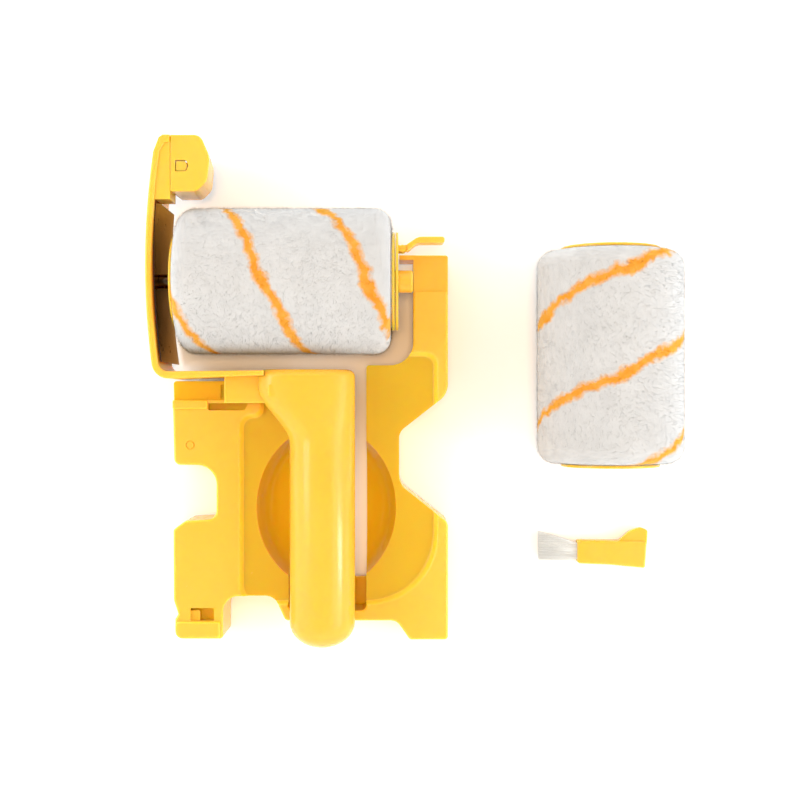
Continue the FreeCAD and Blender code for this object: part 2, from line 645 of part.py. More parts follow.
def dock_block(grow):
    """The dock as one filled block. With grow it is drawn in by that much all round, to hollow the dock out."""
    face = outline(DOCK_OUTLINE, -1.0 if grow else 0.0)
    if grow:
        face = face.makeOffset2D(-grow)
        block = face.extrude(vec(0, 0, DOCK_TOP - grow + 1.0))
    else:
        block = soften_top(face.extrude(vec(0, 0, DOCK_TOP)), DOCK_TOP, 1.1)
    shelf = box(-130, -60, -3.2 - grow, 20, DOCK_SHELF - grow, DOCK_TOP + 5)
    saddle = rod(HANDLE_R + 0.4 + grow, (HANDLE_X, -130, HANDLE_Z), (HANDLE_X, -94, HANDLE_Z))
    # Room below the neck, out of sight from above.
    neck_bay = slab(
        [
            (-66.0 - grow, 20, 0), (-66.0 - grow, 0.5 - grow, 2.0), (-60.4 - grow, -13.0 - grow, 1.0),
            (-50, -13.0 - grow, 0), (-50, 20, 0),
        ],
        NECK_BAY_FLOOR - grow,
        DOCK_TOP + 5,
    )
    return block.cut([pocket(grow), dish(grow), shelf, saddle, neck_bay])


def dock_plate():
    hollow = dock_block(DOCK_SKIN)
    dock = dock_block(0).cut(hollow)
    wells = [
        box(-97.0, -76.0, -9.2, -3.4, DOCK_TOP - 7.0, DOCK_TOP - 1.0),
        box(-105.0, -91.4, -104.7, -96.0, DOCK_TOP - 7.0, DOCK_TOP - 1.0),
    ]
    dock = dock.fuse(wells)
    latch_slot = slab(
        [(-95.6, -4.6, 0.4), (-95.6, -7.8, 0.4), (-79.0, -7.8, 0.4), (-77.4, -4.6, 0.4)],
        WELL_FLOOR,
        DOCK_TOP + 3,
    )
    lip = slab(
        [(-111.6, -3.3, 0.8), (-111.6, -7.2, 0.8), (-95.8, -7.2, 0.5), (-95.8, -3.3, 0.5)],
        DOCK_TOP - 2,
        DOCK_TOP + 1.2,
    )
    lip = soften_top(lip, DOCK_TOP + 1.2, 0.6)
    ring_mark = tube(2.1, 1.5, (-103.6, -23.5, DOCK_TOP - 0.6), (-103.6, -23.5, DOCK_TOP + 1))
    bar = slab(
        [(-110.4, -103.4, 2.0), (-89.9, -103.4, 0.8), (-89.9, -111.2, 1.5), (-110.4, -111.2, 3.5)],
        DOCK_TOP - 3,
        DOCK_TOP + 1.6,
    )
    bar = soften_top(bar, DOCK_TOP + 1.6, 1.3)
    clip_pocket = slab(
        [(-103.6, -97.4, 0.5), (-103.6, -103.3, 0.5), (-92.8, -103.3, 0.5), (-92.8, -97.4, 0.5)],
        WELL_FLOOR,
        DOCK_TOP + 3,
    )
    tab = slab(
        [(-108.6, -99.2, 0.6), (-108.6, -103.6, 0), (-99.4, -103.6, 0), (-99.4, -98.4, 1.0)],
        DOCK_TOP - 3.2,
        DOCK_TOP - 1.4,
    )
    groove = box(-3, 14, ROLLER_Y - 4.2, ROLLER_Y + 12.0, DOCK_TOP - 0.7, DOCK_TOP + 1)
    slit = box(-90.4, -89.0, -2.4, 3.6, DOCK_SHELF - 1.3, DOCK_SHELF + 2)
    dock = dock.cut([latch_slot, ring_mark, clip_pocket, slit])
    dock = dock.cut(groove)
    finger = box(-9.0, -1.0, 60.4, 62.5, 8.0, DOCK_TOP - 0.7)
    ledge = box(SLOT_X0 - 1.0, SLOT_X1 + 1.0, SLOT_END_Y - 1.0, SLOT_END_Y + 13.0, 6.0, 9.0)
    dock = dock.fuse([lip, bar, tab, finger, ledge])
    ribs = [
        box(-110.5, -60.0, -45.6, -44.0, 3.0, DOCK_TOP - 1.0).common(hollow),
        box(-99.0, -97.4, -92.0, -62.0, 3.0, DOCK_TOP - 1.0).common(hollow),
        box(-12.0, 12.0, -80.8, -79.2, 3.0, DOCK_FLOOR).common(hollow),
        box(-12.0, 12.0, 5.0, 6.6, 3.0, DOCK_FLOOR).common(hollow),
    ]
    for rib in ribs:
        dock = dock.fuse(rib)
    return biggest(dock)


# ---------------------------------------------------------------- detail brush


def brush_handle():
    body = slab(
        [(74.8, -69.0, 1.0), (74.8, -80.0, 1.5), (90.0, -80.6, 20.0), (106.6, -82.2, 1.0), (107.4, -69.6, 0.8)],
        0.3,
        BRUSH_THICK,
    )
    wing = slab(
        [(94.0, -69.6, 0.5), (99.5, -64.6, 8.0), (104.6, -63.0, 3.0), (107.9, -64.4, 1.6), (107.5, -71.0, 0)],
        2.6,
        BRUSH_THICK - 1.2,
    )
    body = soften_top(body, BRUSH_THICK, 0.9)
    socket = box(70.0, 86.0, -78.3, -70.6, 1.7, BRUSH_THICK - 1.4)
    return joined([body, wing]).cut(socket)


def upright_frame(x, y0, y1, z0, z1):
    """A rectangle that stands across X, as a wire."""
    return Part.makePolygon([vec(x, y0, z0), vec(x, y1, z0), vec(x, y1, z1), vec(x, y0, z1), vec(x, y0, z0)])


def bristle_tuft():
    """The bristles: a flat bundle in the handle's socket that fans out to a straight-cut end."""
    root = box(76.0, 85.8, -78.25, -70.65, 1.75, BRUSH_THICK - 1.45)
    near = upright_frame(76.5, -78.3, -70.6, 1.75, 4.55)
    far = upright_frame(56.4, -78.6, -65.0, 1.0, 4.9)
    fan = Part.makeLoft([near, far], True, True).common(box(30, 74.7, -90, -50, -5, 20))
    bridge = box(74.6, 76.1, -78.25, -70.65, 1.75, BRUSH_THICK - 1.45)
    return joined([root, bridge, fan])


def make_brush():
    save("brush_handle", brush_handle().cut(rod(0.8, (81.0, -90, 3.2), (81.0, -60, 3.2))))
    save("brush_bristles", bristle_tuft().cut(rod(0.82, (81.0, -90, 3.2), (81.0, -60, 3.2))))
    save("bristle_pin", rod(0.78, (81.0, -79.6, 3.2), (81.0, -69.4, 3.2)))


def main():
    os.makedirs("parts", exist_ok=True)
    make_sleeves()
    make_guard()
    make_spindle()
    make_handle()
    save("dock_plate", dock_plate())
    make_brush()


main()
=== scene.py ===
"""Looks of the paint edger kit: glossy yellow mouldings, a polished blade, fluffy sleeves, a brush.

Metres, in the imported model's frame: +Z up from the table, +Y from the handle to the roller.
"""

import math

import bpy
import numpy as np
from mathutils import Matrix, Vector


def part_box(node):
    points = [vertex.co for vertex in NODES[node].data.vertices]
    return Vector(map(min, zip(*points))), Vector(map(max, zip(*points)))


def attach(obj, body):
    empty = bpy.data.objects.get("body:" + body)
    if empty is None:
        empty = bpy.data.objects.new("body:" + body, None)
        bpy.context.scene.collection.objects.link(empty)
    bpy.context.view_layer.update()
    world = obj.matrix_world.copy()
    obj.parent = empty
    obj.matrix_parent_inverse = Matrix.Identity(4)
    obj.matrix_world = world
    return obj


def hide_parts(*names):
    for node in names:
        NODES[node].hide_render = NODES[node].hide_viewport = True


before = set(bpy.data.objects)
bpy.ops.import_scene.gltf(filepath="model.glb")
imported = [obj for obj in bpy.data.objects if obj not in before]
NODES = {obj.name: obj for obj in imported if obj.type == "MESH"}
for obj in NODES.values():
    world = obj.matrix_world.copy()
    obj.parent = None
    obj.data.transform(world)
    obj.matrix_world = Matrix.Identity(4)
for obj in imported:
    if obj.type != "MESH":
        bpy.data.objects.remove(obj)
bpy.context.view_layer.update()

MM = 0.001
TURN = 2 * math.pi

CAMERA_SPOT = Vector((-8.0 * MM, -2.8 * MM, 620 * MM))
CAMERA_LENS = 58.8
SENSOR = 36.0

# ---- Pile of the sleeves, each about its own X axis ----
SLEEVE_LENGTH = 95.5 * MM
PILE_R = 33.0 * MM
PILE_ROUNDING = 7.0 * MM
PILE_BORE_R = 21.1 * MM
BASE_INSET = 0.6 * MM
BASE_RINGS, BASE_SPOKES = 110, 150
HAIRS = 45000
HAIR_ROOT_INSET = 0.9 * MM
HAIR_LENGTH_MM = (0.8, 1.7)
HAIR_HALF_WIDTH = 0.035 * MM
HAIR_LEAN = 0.55
LONG_HAIR_SHARE, LONG_HAIR = 0.06, 1.25
STRIPE_LEAD = 88.0 * MM
STRIPE_AT_TOP = -8.0 * MM
STRIPE_WIDTH = 4.6 * MM

# ---- Bristles of the small brush ----
BRISTLES, BRISTLE_SIDES = 1500, 4
BRISTLE_R, BRISTLE_TAPER = 0.085 * MM, 0.45
BRISTLE_LEVELS = (0.0, 0.35, 0.7, 1.0)
BRISTLE_BOW = 0.22 * MM

# ---- Dock: height of its sunk floor ----
SUNK_Z = 25.4 * MM

# ---- Colours: single ones, and pairs from the deeper to the lighter shade ----
YELLOW = (0.79, 0.43, 0.048), (0.82, 0.47, 0.065)
HANDLE_YELLOW = (0.79, 0.41, 0.04), (0.82, 0.44, 0.055)
# Painted shade: a deeper yellow on the dock's sunk floor, for the shade and bounced light in the
# recess.
PAINTED_SHADE_SUNK_YELLOW = (0.60, 0.38, 0.018)
# Painted light: a paler yellow on the slope round the sunk floor, which covers the band of shade on
# it.
PAINTED_LIGHT_SLOPE_YELLOW = (0.96, 0.56, 0.05)
# Painted bounce light: amber in the finger hollow, for light bounced round inside it.
PAINTED_BOUNCE_HOLLOW_AMBER = (0.73, 0.44, 0.011)
PILE_WHITE = (0.48, 0.485, 0.485), (0.52, 0.525, 0.525)
# Paler hair tips: painted light that lifts the dark edge of the pile's outline.
PAINTED_LIGHT_PILE_TIP = (0.59, 0.59, 0.585)
YARN_ORANGE = (0.62, 0.25, 0.02), (0.68, 0.33, 0.06)
# The blade's brown is a painted reflection of the shaded, yellow-lit space beside it, also at a flat
# angle.
PAINTED_REFLECTION_BLADE_BROWN = (0.10, 0.055, 0.03), (0.14, 0.08, 0.045)
PAINTED_REFLECTION_BLADE_GLANCE = (0.70, 0.45, 0.22)
ZINC_GREY = (0.48, 0.49, 0.51), (0.72, 0.73, 0.75)
CORE_CREAM = (0.74, 0.72, 0.66), (0.84, 0.82, 0.77)
ACETAL_WHITE = (0.80, 0.80, 0.77), (0.9, 0.9, 0.88)
BRISTLE_WHITE = (0.58, 0.60, 0.60), (0.74, 0.77, 0.77)
TABLE_WHITE = (0.90, 0.90, 0.90), (0.92, 0.92, 0.92)

# ---- Room: the table, the sky from straight down to straight up, and the lights ----
TABLE_SIDE, TABLE_DROP = 3.0, 0.4 * MM
SKY = [
    (0.0, (0.86, 0.88, 0.90)),
    (0.34, (0.84, 0.92, 0.98)),
    (0.6, (0.84, 0.92, 0.98)),
    (1.0, (0.22, 0.25, 0.27)),
]
SKY_STRENGTH = 1.65
WHITE_LIGHT, WARM_LIGHT = (1, 1, 1), (1.0, 0.64, 0.32)
# Name, place, target, width and height, watts, colour, and whether surfaces mirror it.
LIGHTS = [
    ("key", (0.75, -0.15, 0.55), (0, 0, 0), (0.9, 0.5), 2.0, WHITE_LIGHT, True),
    ("lamp", (-0.008, 0.0, 1.6), (-0.008, 0.0, 0), (0.3, 0.3), 14.0, WARM_LIGHT, False),
    ("strip", (0.9, -0.25, 0.42), (-0.04, -0.09, 0.04), (0.10, 0.3), 1.6, WHITE_LIGHT, True),
    ("fill", (-0.8, 0.1, 0.6), (0, 0, 0), (0.6, 0.4), 3.0, WHITE_LIGHT, True),
]

# Noise stays near its middle, so a look runs its full range between these two values.
NOISE_LOW, NOISE_HIGH = 0.3, 0.7


def new_object(name, mesh, location=None, turn=0.0):
    obj = bpy.data.objects.new(name, mesh)
    bpy.context.scene.collection.objects.link(obj)
    if location is not None:
        obj.matrix_world = Matrix.Translation(location) @ Matrix.Rotation(turn, 4, "Z")
    return obj


def middle(node):
    low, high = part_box(node)
    return (low + high) / 2


# ---------------------------------------------------------------- node helpers


def new_material(name):
    material = bpy.data.materials.new(name)
    material.use_nodes = True
    return material, material.node_tree, material.node_tree.nodes["Principled BSDF"]


def fill_in(tree, shader, sockets):
    """Links or sets the shader's sockets by name."""
    for name, value in sockets.items():
        if isinstance(value, bpy.types.NodeSocket):
            tree.links.new(value, shader.inputs[name])
        else:
            shader.inputs[name].default_value = value


def object_place(tree):
    return tree.nodes.new("ShaderNodeTexCoord").outputs["Object"]


def stretched_place(tree, scale):
    """The place on the object, scaled along each axis."""
    node = tree.nodes.new("ShaderNodeMapping")
    node.inputs["Scale"].default_value = scale
    tree.links.new(object_place(tree), node.inputs["Vector"])
    return node.outputs["Vector"]


def split(tree, vector):
    """The X, Y and Z of a vector, as sockets."""
    node = tree.nodes.new("ShaderNodeSeparateXYZ")
    tree.links.new(vector, node.inputs["Vector"])
    return node.outputs


def noise(tree, scale, detail=3.0, roughness=0.55, place=None):
    node = tree.nodes.new("ShaderNodeTexNoise")
    node.inputs["Scale"].default_value = scale
    node.inputs["Detail"].default_value = detail
    node.inputs["Roughness"].default_value = roughness
    tree.links.new(object_place(tree) if place is None else place, node.inputs["Vector"])
    return node.outputs["Fac"]


def ramp(tree, value, stops):
    """A colour ramp from (position, colour) stops."""
    node = tree.nodes.new("ShaderNodeValToRGB")
    elements = node.color_ramp.elements
    while len(elements) < len(stops):
        elements.new(0.5)
    for element, (position, colour) in zip(elements, stops):
        element.position = position
        element.color = (*colour, 1.0)
    tree.links.new(value, node.inputs["Fac"])
    return node.outputs["Color"]


def shaded(tree, value, shades):
    """From the deep to the light shade of a pair, over the range of noise."""
    deep, light = shades
    return ramp(tree, value, [(NOISE_LOW, deep), (NOISE_HIGH, light)])


def spread(tree, value, low, high, from_low=NOISE_LOW, from_high=NOISE_HIGH):
    """A value mapped to a range."""
    node = tree.nodes.new("ShaderNodeMapRange")
    node.inputs["From Min"].default_value = from_low
    node.inputs["From Max"].default_value = from_high
    node.inputs["To Min"].default_value = low
    node.inputs["To Max"].default_value = high
    tree.links.new(value, node.inputs["Value"])
    return node.outputs["Result"]


def rising(tree, value, start, end):
    """0 up to the start and 1 past the end."""
    return spread(tree, value, 0.0, 1.0, start, end)


def falling(tree, value, start, end):
    """1 up to the start and 0 past the end."""
    return spread(tree, value, 1.0, 0.0, start, end)


def maths(tree, operation, *values):
    """A sum on sockets and plain numbers."""
    node = tree.nodes.new("ShaderNodeMath")
    node.operation = operation
    for socket, value in zip(node.inputs, values):
        if isinstance(value, (int, float)):
            socket.default_value = value
        else:
            tree.links.new(value, socket)
    return node.outputs["Value"]


def bump(tree, shader, height, strength, distance):
    node = tree.nodes.new("ShaderNodeBump")
    node.inputs["Strength"].default_value = strength
    node.inputs["Distance"].default_value = distance
    tree.links.new(height, node.inputs["Height"])
    tree.links.new(node.outputs["Normal"], shader.inputs["Normal"])


def mixed(tree, factor, first, second):
    """From one colour to another by a factor. Each colour is a socket or a plain colour."""
    node = tree.nodes.new("ShaderNodeMix")
    node.data_type = "RGBA"
    tree.links.new(factor, node.inputs["Factor"])
    for socket, colour in ((node.inputs["A"], first), (node.inputs["B"], second)):
        if isinstance(colour, tuple):
            socket.default_value = (*colour, 1.0)
        else:
            tree.links.new(colour, socket)
    return node.outputs["Result"]


# ---------------------------------------------------------------- materials


def painted_dock_light_and_shade(tree, colour):
    """The dock's colour with painted light and shade: painted shade deepens the sunk floor, painted
    light pales its slope, and a painted amber stands in for light bounced in the finger hollow.

    Height over the table and how far a face looks up tell the three apart.
    """
    place = tree.nodes.new("ShaderNodeTexCoord")
    height = split(tree, place.outputs["Object"])["Z"]
    up = split(tree, place.outputs["Normal"])["Z"]

    at_floor = maths(
        tree, "MULTIPLY",
        falling(tree, height, SUNK_Z + 0.4 * MM, SUNK_Z + 2.2 * MM),
        rising(tree, height, SUNK_Z - 0.8 * MM, SUNK_Z - 0.2 * MM),
    )
    floor_shade_mask = maths(tree, "MULTIPLY", at_floor, rising(tree, up, 0.25, 0.85))
    hollow_bounce_mask = maths(
        tree, "MULTIPLY",
        falling(tree, height, SUNK_Z - 1.0 * MM, SUNK_Z - 0.2 * MM),
        rising(tree, up, 0.05, 0.3),
    )
    neither_wall_nor_flat = maths(
        tree, "MULTIPLY", rising(tree, up, 0.1, 0.3), falling(tree, up, 0.75, 0.97),
    )
    slope_light_mask = maths(
        tree, "MULTIPLY",
        rising(tree, height, SUNK_Z + 0.05 * MM, SUNK_Z + 0.5 * MM),
        neither_wall_nor_flat,
    )
    # Painted shade on the sunk floor, painted light on its slope, painted bounce light in the finger
    # hollow.
    shade = mixed(tree, floor_shade_mask, colour, PAINTED_SHADE_SUNK_YELLOW)
    shade = mixed(tree, slope_light_mask, shade, PAINTED_LIGHT_SLOPE_YELLOW)
    return mixed(tree, hollow_bounce_mask, shade, PAINTED_BOUNCE_HOLLOW_AMBER)


def yellow_plastic(name, shades, rough, peel, painted_shading=None):
    """Glossy moulded plastic: a faint drift of colour, duller patches, and orange-peel.

    Where given, the last argument is a function that paints light and shade onto parts of the piece.
    """
    material, tree, shader = new_material(name)
    colour = shaded(tree, noise(tree, scale=14.0, detail=2.0), shades)
    fill_in(tree, shader, {
        "Base Color": painted_shading(tree, colour) if painted_shading else colour,
        "Roughness": spread(tree, noise(tree, scale=45.0, detail=4.0), *rough),
        "IOR": 1.45,
        "Specular IOR Level": 0.35,
        "Subsurface Weight": 1.0,
        "Subsurface Radius": (1.0, 0.5, 0.12),
        "Subsurface Scale": 0.004,
    })
    bump(tree, shader, noise(tree, scale=420.0, detail=2.0), strength=peel, distance=0.0002)
    return material


def yarn_mask(tree, place):
    """1 on the two spiral yarns and 0 beside them."""
    wander = spread(tree, noise(tree, scale=30.0, detail=2.0), -0.0022, 0.0022)
    ragged = spread(tree, noise(tree, scale=210.0, roughness=0.6), -0.0014, 0.0014)
    along = maths(tree, "ADD", place["X"], maths(tree, "ADD", wander, ragged))
    turn_from_top = maths(
        tree, "SUBTRACT", maths(tree, "ARCTAN2", place["Z"], place["Y"]), math.pi / 2,
    )
    spiral = maths(tree, "MULTIPLY", turn_from_top, STRIPE_LEAD / TURN)
    from_one = maths(tree, "SUBTRACT", maths(tree, "SUBTRACT", along, STRIPE_AT_TOP), spiral)
    # Two yarns to a lead, so no place is more than a quarter of the lead from the nearest.
    from_nearest = maths(tree, "PINGPONG", from_one, STRIPE_LEAD / 4)
    half_width = spread(
        tree, noise(tree, scale=55.0, detail=2.0), STRIPE_WIDTH * 0.38, STRIPE_WIDTH * 0.62,
    )
    return rising(tree, maths(tree, "SUBTRACT", half_width, from_nearest), -0.0012, 0.0012)


def painted_light_tip_mask(tree, place):
    """1 on the hairs' tips, which stand proud of the coat and take the painted light, and 0 in its
    depth.
    """
    squares = [maths(tree, "POWER", place[axis], 2.0) for axis in ("Y", "Z")]
    radius = maths(tree, "SQRT", maths(tree, "ADD", *squares))
    past_side = maths(tree, "SUBTRACT", radius, PILE_R - BASE_INSET)
    past_end = maths(
        tree, "SUBTRACT", maths(tree, "ABSOLUTE", place["X"]), SLEEVE_LENGTH / 2 - BASE_INSET,
    )
    return rising(tree, maths(tree, "MAXIMUM", past_side, past_end), 0.1 * MM, 0.7 * MM)


def pile_material():
    """White pile with paler tips, a painted light that lifts the dark edge of its outline, and two
    spiral yarns, placed on the sleeve's own X axis.
    """
    material, tree, shader = new_material("white_pile")
    place = split(tree, object_place(tree))
    white = shaded(tree, noise(tree, scale=110.0), PILE_WHITE)
    # Painted light: the paler tips lift the dark edge of the pile.
    white = mixed(tree, painted_light_tip_mask(tree, place), white, PAINTED_LIGHT_PILE_TIP)
    orange = shaded(tree, noise(tree, scale=160.0), YARN_ORANGE)
    fill_in(tree, shader, {
        "Base Color": mixed(tree, yarn_mask(tree, place), white, orange),
        "Roughness": 0.95,
        "Specular IOR Level": 0.1,
        "Subsurface Weight": 1.0,
        "Subsurface Radius": (1.0, 1.0, 1.0),
        "Subsurface Scale": 0.0018,
    })
    bump(tree, shader, noise(tree, scale=900.0, roughness=0.6), strength=0.15, distance=0.0003)
    return material


def blade_material():
    """Polished sheet steel, coloured dark brown as a painted reflection of the shaded space it faces,
    with faint rolling lines along its length and a few soft smears.
    """
    material, tree, shader = new_material("polished_steel")
    along = stretched_place(tree, (40.0, 12.0, 900.0))
    lines = noise(tree, scale=1.0, detail=4.0, roughness=0.6, place=along)
    fill_in(tree, shader, {
        # The brown base colour is a painted reflection of the shade beside the blade.
        "Base Color": shaded(tree, lines, PAINTED_REFLECTION_BLADE_BROWN),
        "Roughness": spread(tree, noise(tree, scale=60.0), 0.07, 0.2),
        "Metallic": 1.0,
        # Seen at a flat angle, the metal keeps its brown painted reflection.
        "Specular Tint": (*PAINTED_REFLECTION_BLADE_GLANCE, 1.0),
    })
    bump(tree, shader, lines, strength=0.06, distance=0.00005)
    return material


def zinc_material():
    """Zinc-plated steel with fine spangle."""
    material, tree, shader = new_material("zinc_steel")
    fill_in(tree, shader, {
        "Base Color": shaded(tree, noise(tree, scale=500.0, detail=4.0), ZINC_GREY),
        "Roughness": spread(tree, noise(tree, scale=300.0), 0.2, 0.38),
        "Metallic": 1.0,
    })
    bump(tree, shader, noise(tree, scale=1500.0, detail=2.0), strength=0.1, distance=0.00005)
    return material


def plain_plastic(name, shades, roughness):
    """Plain moulded plastic, from the given roughness to a little duller."""
    material, tree, shader = new_material(name)
    fill_in(tree, shader, {
        "Base Color": shaded(tree, noise(tree, scale=80.0), shades),
        "Roughness": spread(tree, noise(tree, scale=200.0), roughness, roughness + 0.15),
    })
    bump(tree, shader, noise(tree, scale=900.0), strength=0.15, distance=0.0001)
    return material


def bristle_material():
    """Fine white filaments: lighter and darker strands side by side across the tuft."""
    material, tree, shader = new_material("white_bristle")
    across = stretched_place(tree, (30.0, 2400.0, 2400.0))
    strands = noise(tree, scale=1.0, detail=2.0, roughness=0.5, place=across)
    fill_in(tree, shader, {
        "Base Color": shaded(tree, strands, BRISTLE_WHITE),
        "Roughness": spread(tree, strands, 0.4, 0.6),
    })
    return material


def make_materials():
    gloss, handle_gloss = (0.16, 0.28), (0.10, 0.2)
    return {
        "yellow": yellow_plastic("yellow_gloss", YELLOW, gloss, 0.10),
        # The dock takes painted shade on its sunk floor, painted light on its slope and painted
        # bounce light in its finger hollow.
        "dock": yellow_plastic("yellow_dock_painted_shade", YELLOW, gloss, 0.10, painted_dock_light_and_shade),
        "handle": yellow_plastic("yellow_handle", HANDLE_YELLOW, handle_gloss, 0.06),
        "pile": pile_material(),
        "blade": blade_material(),
        "zinc": zinc_material(),
        "core": plain_plastic("sleeve_core", CORE_CREAM, 0.45),
        "acetal": plain_plastic("white_acetal", ACETAL_WHITE, 0.3),
        "bristle": bristle_material(),
    }


# ---------------------------------------------------------------- CAD nodes


def smoothing_group(angle):
    """Joins the frame's split vertices and smooths every edge flatter than the angle."""
    tree = bpy.data.node_groups.new("smooth_flat_edges", "GeometryNodeTree")
    for way in ("INPUT", "OUTPUT"):
        tree.interface.new_socket("Geometry", in_out=way, socket_type="NodeSocketGeometry")
    add, link = tree.nodes.new, tree.links.new
    start, end = add("NodeGroupInput"), add("NodeGroupOutput")
    merge = add("GeometryNodeMergeByDistance")
    merge.inputs["Distance"].default_value = 1e-6
    faces, edges = add("GeometryNodeSetShadeSmooth"), add("GeometryNodeSetShadeSmooth")
    edges.domain = "EDGE"
    between, compare = add("GeometryNodeInputMeshEdgeAngle"), add("FunctionNodeCompare")
    compare.operation = "LESS_THAN"
    compare.inputs["B"].default_value = angle
    link(between.outputs["Unsigned Angle"], compare.inputs["A"])
    link(start.outputs[0], merge.inputs["Geometry"])
    link(merge.outputs["Geometry"], faces.inputs["Geometry"])
    link(faces.outputs["Geometry"], edges.inputs["Geometry"])
    link(compare.outputs["Result"], edges.inputs["Shade Smooth"])
    link(edges.outputs["Geometry"], end.inputs[0])
    return tree


def dress(node, material, group):
    obj = NODES[node]
    obj.data.materials.clear()
    obj.data.materials.append(material)
    modifier = obj.modifiers.new("smooth", "NODES")
    modifier.node_group = group


def dress_nodes(materials):
    """Gives each CAD node that shows as it is a material and smooth shading."""
    group = smoothing_group(math.radians(24))
    nodes_by_look = {
        "dock": ["dock_plate"],
        "yellow": [
            "guard_frame", "brush_holder", "retainer_plate", "release_lever", "roller_spindle",
            "roller_cap_left", "roller_cap_right", "spare_caps", "brush_handle",
        ],
        "handle": ["handle_upper_shell", "handle_lower_shell"],
        "core": ["roller_core", "spare_core"],
        # The blade, its rivets and the spindle spacer take the steel painted dark brown as a
        # reflection of the shade round them.
        "blade": ["shield_blade", "shield_rivets", "spindle_spacer"],
        "zinc": ["handle_screws", "neck_screws", "spindle_screw", "lever_pin", "bristle_pin"],
        "acetal": ["spindle_bush_left", "spindle_bush_right", "spare_bushes"],
    }
    for look, nodes in nodes_by_look.items():
        for node in nodes:
            dress(node, materials[look], group)


# ---------------------------------------------------------------- pile


def pile_profile(s, inset):
    """Place and outward normal on the pile's outline, drawn in by inset.

    s runs from 0 at the bore on one end, over the rounded shoulders, to 1 at the bore on the
    other end. Returns axial place, radius, and the normal's axial and radial parts.
    """
    half, outer, r = SLEEVE_LENGTH / 2 - inset, PILE_R - inset, PILE_ROUNDING
    face = outer - r - PILE_BORE_R
    bend = r * math.pi / 2
    straight = 2 * (half - r)
    run = np.asarray(s) * (2 * face + 2 * bend + straight)
    mirrored = run > face + bend + straight / 2
    d = np.where(mirrored, 2 * face + 2 * bend + straight - run, run)
    on_face, on_bend = d < face, (d >= face) & (d < face + bend)
    turn = np.clip((d - face) / r, 0, math.pi / 2)
    x_past_face = np.where(on_bend, -half + r - r * np.cos(turn), -half + r + d - face - bend)
    x = np.where(on_face, -half, x_past_face)
    radius_past_face = np.where(on_bend, outer - r + r * np.sin(turn), outer)
    radius = np.where(on_face, PILE_BORE_R + d, radius_past_face)
    sign = np.where(mirrored, -1.0, 1.0)
    return sign * x, radius, sign * -np.cos(turn), np.sin(turn)


def round_x(along, out, turn):
    """Vectors from their parts along X and out from it, at an angle round X."""
    return np.stack([along, out * np.cos(turn), out * np.sin(turn)], -1)


def pile_base():
    """Points, outward normals and quads of the pile's smooth base."""
    rings, spokes = BASE_RINGS, BASE_SPOKES
    s, turn = np.meshgrid(
        np.linspace(0, 1, rings), np.arange(spokes) * TURN / spokes, indexing="ij",
    )
    x, radius, nx, nr = pile_profile(s, BASE_INSET)
    row, spoke = np.meshgrid(np.arange(rings), np.arange(spokes), indexing="ij")
    here, beside = row * spokes + spoke, row * spokes + (spoke + 1) % spokes
    # The last row runs back to the first, which closes the base along the bore.
    ahead, ahead_beside = np.roll(here, -1, axis=0), np.roll(beside, -1, axis=0)
    quads = np.stack([here, beside, ahead_beside, ahead], -1).reshape(-1, 4)
    return round_x(x, radius, turn).reshape(-1, 3), round_x(nx, nr, turn).reshape(-1, 3), quads


def pile_hairs(rng):
    """Points and normals of the hairs, three to each: a thin triangle from the coat to its tip.

    The hairs carry the coat's own outward normals, so that the pile shades as one soft surface.
    """
    s, turn = rng.uniform(0.0, 1.0, HAIRS), rng.uniform(0, TURN, HAIRS)
    x, radius, nx, nr = pile_profile(s, HAIR_ROOT_INSET)
    # A smaller round takes fewer hairs, so that they stand equally dense all over.
    keep = rng.uniform(0, PILE_R, HAIRS) < radius
    turn, x, radius, nx, nr = (v[keep] for v in (turn, x, radius, nx, nr))
    count = len(turn)
    root, out = round_x(x, radius, turn), round_x(nx, nr, turn)
    side_a = np.stack([np.zeros(count), -np.sin(turn), np.cos(turn)], -1)
    side_b = np.cross(out, side_a)
    lean_a, lean_b = rng.normal(0, HAIR_LEAN, (2, count))
    lean = side_a * lean_a[:, None] + side_b * lean_b[:, None]
    length = rng.uniform(*HAIR_LENGTH_MM, count) * MM
    length *= np.where(rng.uniform(0, 1, count) < LONG_HAIR_SHARE, LONG_HAIR, 1.0)
    tip = root + (out + lean * 0.9) * length[:, None]
    spin = rng.uniform(0, math.pi, count)
    flat_way = side_a * np.cos(spin)[:, None] + side_b * np.sin(spin)[:, None]
    half_width = flat_way * HAIR_HALF_WIDTH
    soft = out + lean * 0.10
    soft /= np.linalg.norm(soft, axis=1)[:, None]
    points = np.stack([root - half_width, root + half_width, tip], 1).reshape(-1, 3)
    return points, np.repeat(soft, 3, axis=0)


def pile_mesh(name, seed):
    """A smooth base under a dense coat of short fine hairs, as one mesh round the X axis."""
    base, base_out, quads = pile_base()
    hairs, hairs_out = pile_hairs(np.random.default_rng(seed))
    points = np.concatenate([base, hairs])
    corners = np.concatenate([quads.reshape(-1), len(base) + np.arange(len(hairs))])
    sizes = np.concatenate([np.full(len(quads), 4), np.full(len(hairs) // 3, 3)])
    starts = np.concatenate([[0], np.cumsum(sizes)[:-1]])
    mesh = bpy.data.meshes.new(name)
    mesh.vertices.add(len(points))
    mesh.vertices.foreach_set("co", points.reshape(-1))
    mesh.loops.add(len(corners))
    mesh.loops.foreach_set("vertex_index", corners)
    mesh.polygons.add(len(sizes))
    mesh.polygons.foreach_set("loop_start", starts)
    mesh.polygons.foreach_set("use_smooth", np.ones(len(sizes), dtype=bool))
    mesh.update(calc_edges=True)
    mesh.validate()
    mesh.normals_split_custom_set_from_vertices(np.concatenate([base_out, hairs_out]).tolist())
    return mesh


